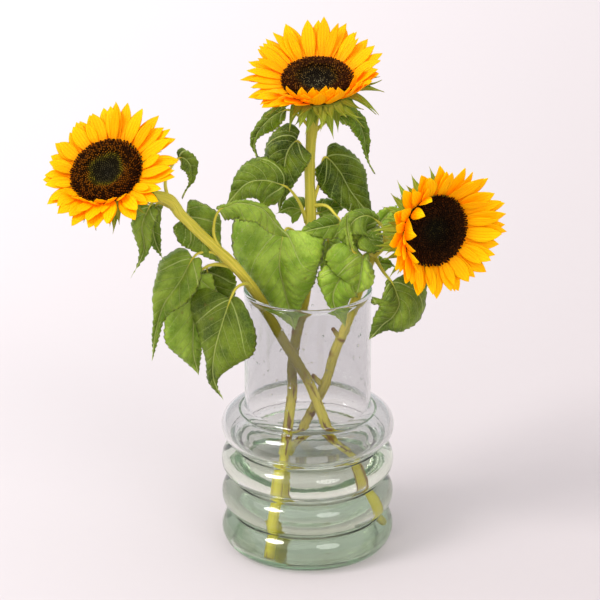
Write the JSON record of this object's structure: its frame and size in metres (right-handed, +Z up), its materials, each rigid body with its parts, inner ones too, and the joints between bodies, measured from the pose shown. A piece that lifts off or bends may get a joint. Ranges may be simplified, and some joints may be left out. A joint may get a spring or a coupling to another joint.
{
  "type": "sunflowers in a vase",
  "caption": "Cut sunflowers with heart-shaped leaves leaning out of a clear ringed glass vase that is partly filled with water.",
  "frame": {"origin": "centre of the vase's flat foot, on the surface it stands on", "axes": "+Z up along the vase's axis, -Y towards the front as pictured, +X to the right"},
  "size_m": [0.4626, 0.2562, 0.5465],
  "materials": {
    "vase_glass": "clear, faint green tint, polished",
    "water": "clear water",
    "leaf_and_stem": "matt green leaf and yellow-green stem",
    "bract": "matt green",
    "petal": "satin golden yellow",
    "disc": "rough dark brown florets"
  },
  "bodies": {
    "root": {"vase": "vase_glass", "water": "water", "left_leafy_stem": "leaf_and_stem", "left_bracts": "bract", "left_petals": "petal", "left_disc": "disc", "top_leafy_stem": "leaf_and_stem", "top_bracts": "bract", "top_petals": "petal", "top_disc": "disc", "right_leafy_stem": "leaf_and_stem", "right_bracts": "bract", "right_petals": "petal", "right_disc": "disc"}
  },
  "joints": []
}
